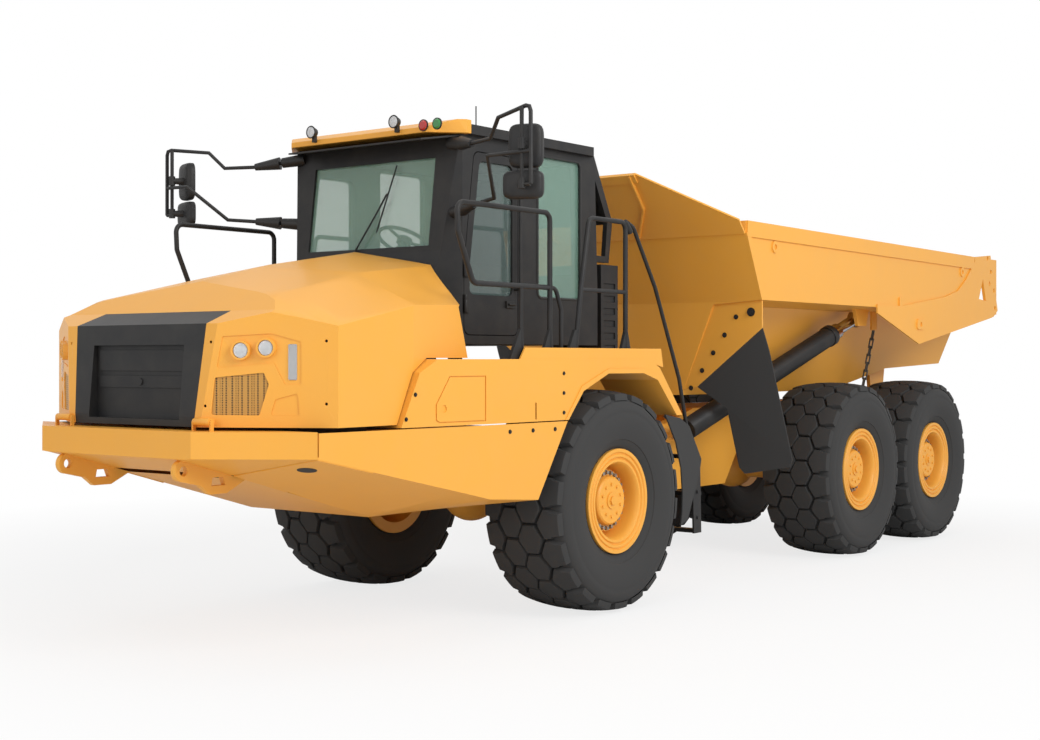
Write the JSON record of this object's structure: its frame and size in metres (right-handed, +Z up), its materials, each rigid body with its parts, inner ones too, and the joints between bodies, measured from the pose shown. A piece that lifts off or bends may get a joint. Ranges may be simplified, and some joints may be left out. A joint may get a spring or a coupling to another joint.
{
  "type": "articulated dump truck",
  "caption": "Heavy articulated six-wheel hauler: hinged front and rear frames, cab, opening hood, and an open tipping load body on hoist cylinders.",
  "frame": {"origin": "on the ground under the middle of the machine's box", "axes": "+X towards the front of the machine, +Y to its left, +Z up"},
  "size_m": [10.788, 3.55, 3.82],
  "materials": {
    "yellow_paint": "gloss enamel",
    "black_paint": "satin black enamel",
    "tyre_rubber": "matt",
    "flap_rubber": "matt",
    "glass": "pale green tint",
    "lamp_glass": "clear lens",
    "inside_plastic": "grained",
    "cast_metal": "rough cast"
  },
  "bodies": {
    "front": {"belly_and_skirts": "yellow_paint", "bumper": "yellow_paint", "cab_glass": "glass", "cab_guard": "black_paint", "cab_inside": "inside_plastic", "cab_roof": "yellow_paint", "cab_shell": "black_paint", "fenders": "yellow_paint", "filter_box": "black_paint", "front_axle": "yellow_paint", "front_frame": "yellow_paint", "handrails": "black_paint", "ladders": "black_paint", "mirrors": "black_paint", "power_unit": "cast_metal", "roof_lamps": "black_paint"},
    "hood": {"grille": "black_paint", "headlamps": "lamp_glass", "hood": "yellow_paint", "hood_mesh": "black_paint"},
    "door": {"cab_door": "black_paint", "door_glass": "glass"},
    "hitch": {"hitch": "yellow_paint"},
    "rear": {"bogie_axles": "yellow_paint", "bogie_beams": "yellow_paint", "rear_frame": "yellow_paint"},
    "bed": {"chains": "cast_metal", "dump_body": "yellow_paint", "mud_flaps": "flap_rubber"},
    "wheel_front_left": {"tyre_front_left": "tyre_rubber", "rim_front_left": "yellow_paint"},
    "wheel_front_right": {"tyre_front_right": "tyre_rubber", "rim_front_right": "yellow_paint"},
    "wheel_middle_left": {"tyre_middle_left": "tyre_rubber", "rim_middle_left": "yellow_paint"},
    "wheel_middle_right": {"tyre_middle_right": "tyre_rubber", "rim_middle_right": "yellow_paint"},
    "wheel_rear_left": {"tyre_rear_left": "tyre_rubber", "rim_rear_left": "yellow_paint"},
    "wheel_rear_right": {"tyre_rear_right": "tyre_rubber", "rim_rear_right": "yellow_paint"},
    "hoist_barrel_left": {"hoist_barrel_left": "black_paint"},
    "hoist_barrel_right": {"hoist_barrel_right": "black_paint"},
    "hoist_rod_left": {"hoist_rod_left": "black_paint"},
    "hoist_rod_right": {"hoist_rod_right": "black_paint"},
    "hoist_stage_left": {"hoist_stage_left": "black_paint"},
    "hoist_stage_right": {"hoist_stage_right": "black_paint"},
    "steer_barrel_left": {"steer_barrel_left": "black_paint"},
    "steer_barrel_right": {"steer_barrel_right": "black_paint"},
    "steer_rod_left": {"steer_rod_left": "black_paint"},
    "steer_rod_right": {"steer_rod_right": "black_paint"}
  },
  "joints": [
    {"name": "hood_open", "type": "hinge", "parent": "front", "child": "hood", "pos_m": [5.261, 0, 1.47], "axis": [0, 1, 0], "range_deg": [0, 60]},
    {"name": "door_open", "type": "hinge", "parent": "front", "child": "door", "pos_m": [3.049, 0.825, 2.6], "axis": [0, 0, -1], "range_deg": [0, 50]},
    {"name": "steer", "type": "hinge", "parent": "front", "child": "hitch", "pos_m": [0.636, 0, 0.95], "axis": [0, 0, 1], "range_deg": [-45, 45]},
    {"name": "roll", "type": "hinge", "parent": "hitch", "child": "rear", "pos_m": [0.186, 0, 0.95], "axis": [-1, 0, 0], "range_deg": [-15, 15]},
    {"name": "bed_tip", "type": "hinge", "parent": "rear", "child": "bed", "pos_m": [-4.364, 0, 1.35], "axis": [0, -1, 0], "range_deg": [0, 70]},
    {"name": "roll_front_left", "type": "hinge", "parent": "front", "child": "wheel_front_left", "pos_m": [1.986, 1.085, 0.8085], "axis": [0, 1, 0], "continuous": true},
    {"name": "roll_front_right", "type": "hinge", "parent": "front", "child": "wheel_front_right", "pos_m": [1.986, -1.085, 0.8085], "axis": [0, 1, 0], "continuous": true},
    {"name": "roll_middle_left", "type": "hinge", "parent": "rear", "child": "wheel_middle_left", "pos_m": [-2.074, 1.085, 0.8085], "axis": [0, 1, 0], "continuous": true},
    {"name": "roll_middle_right", "type": "hinge", "parent": "rear", "child": "wheel_middle_right", "pos_m": [-2.074, -1.085, 0.8085], "axis": [0, 1, 0], "continuous": true},
    {"name": "roll_rear_left", "type": "hinge", "parent": "rear", "child": "wheel_rear_left", "pos_m": [-3.774, 1.085, 0.8085], "axis": [0, 1, 0], "continuous": true},
    {"name": "roll_rear_right", "type": "hinge", "parent": "rear", "child": "wheel_rear_right", "pos_m": [-3.774, -1.085, 0.8085], "axis": [0, 1, 0], "continuous": true},
    {"name": "hoist_swing_left", "type": "hinge", "parent": "rear", "child": "hoist_barrel_left", "pos_m": [0.036, 0.72, 1.21], "axis": [0.3593, 0.7052, 0.6112], "range_deg": [0, 5.6]},
    {"name": "hoist_stage_left", "type": "slide", "parent": "hoist_barrel_left", "child": "hoist_stage_left", "axis": [-0.9174, 0.1468, 0.3699], "range_m": [0, 1.1848]},
    {"name": "hoist_rod_left", "type": "slide", "parent": "hoist_stage_left", "child": "hoist_rod_left", "axis": [-0.9174, 0.1468, 0.3699], "range_m": [0, 1.1848]},
    {"name": "steer_swing_left", "type": "hinge", "parent": "front", "child": "steer_barrel_left", "pos_m": [1.486, 0.33, 0.95], "axis": [0, 0, 1], "range_deg": [-5.22, 5.22]},
    {"name": "steer_slide_left", "type": "slide", "parent": "steer_barrel_left", "child": "steer_rod_left", "axis": [-1, 0, 0], "range_m": [-0.2424, 0.2424]},
    {"name": "hoist_swing_right", "type": "hinge", "parent": "rear", "child": "hoist_barrel_right", "pos_m": [0.036, -0.72, 1.21], "axis": [-0.3593, 0.7052, -0.6112], "range_deg": [0, 5.6]},
    {"name": "hoist_stage_right", "type": "slide", "parent": "hoist_barrel_right", "child": "hoist_stage_right", "axis": [-0.9174, -0.1468, 0.3699], "range_m": [0, 1.1848]},
    {"name": "hoist_rod_right", "type": "slide", "parent": "hoist_stage_right", "child": "hoist_rod_right", "axis": [-0.9174, -0.1468, 0.3699], "range_m": [0, 1.1848]},
    {"name": "steer_swing_right", "type": "hinge", "parent": "front", "child": "steer_barrel_right", "pos_m": [1.486, -0.33, 0.95], "axis": [0, 0, 1], "range_deg": [-5.22, 5.22]},
    {"name": "steer_slide_right", "type": "slide", "parent": "steer_barrel_right", "child": "steer_rod_right", "axis": [-1, 0, 0], "range_m": [-0.2424, 0.2424]}
  ],
  "couplings": [
    {"joint": "hoist_swing_left", "follows": "bed_tip", "ratio": 0.079846},
    {"joint": "hoist_stage_left", "follows": "bed_tip", "m_per_rad": 0.96935},
    {"joint": "hoist_rod_left", "follows": "bed_tip", "m_per_rad": 0.96935},
    {"joint": "steer_swing_left", "follows": "steer", "ratio": 0.11576},
    {"joint": "steer_slide_left", "follows": "steer", "m_per_rad": 0.30799},
    {"joint": "hoist_swing_right", "follows": "bed_tip", "ratio": 0.079846},
    {"joint": "hoist_stage_right", "follows": "bed_tip", "m_per_rad": 0.96935},
    {"joint": "hoist_rod_right", "follows": "bed_tip", "m_per_rad": 0.96935},
    {"joint": "steer_swing_right", "follows": "steer", "ratio": 0.11576},
    {"joint": "steer_slide_right", "follows": "steer", "m_per_rad": -0.30799}
  ]
}
